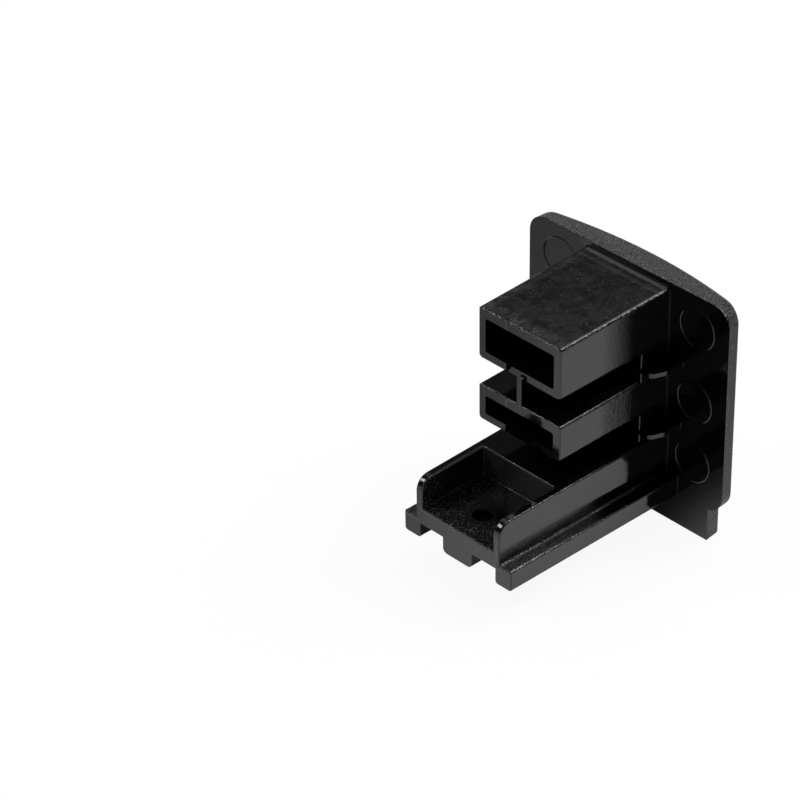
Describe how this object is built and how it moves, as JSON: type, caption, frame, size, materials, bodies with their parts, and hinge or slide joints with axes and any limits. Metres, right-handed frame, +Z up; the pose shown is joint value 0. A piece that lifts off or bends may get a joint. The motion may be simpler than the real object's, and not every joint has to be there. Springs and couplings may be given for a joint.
{
  "type": "profile end cap",
  "caption": "Moulded black end cap for a surface-mounted lighting track: a bowed plate with two hollow arms and a longer tray arm that slide into the profile.",
  "frame": {"origin": "middle of the plate's outline above the tab, on the flat back face that meets the end of the profile", "axes": "+Y into the profile along the arms, +Z up, the tab at the bottom, and +X across; the cap is the same left and right"},
  "size_m": [0.0358, 0.0356, 0.0371],
  "materials": {
    "body": "black moulded plastic, satin gloss on the arms and the back face, finely grained and duller on the bowed outer face"
  },
  "bodies": {
    "root": {"end_cap": "body"}
  },
  "joints": []
}
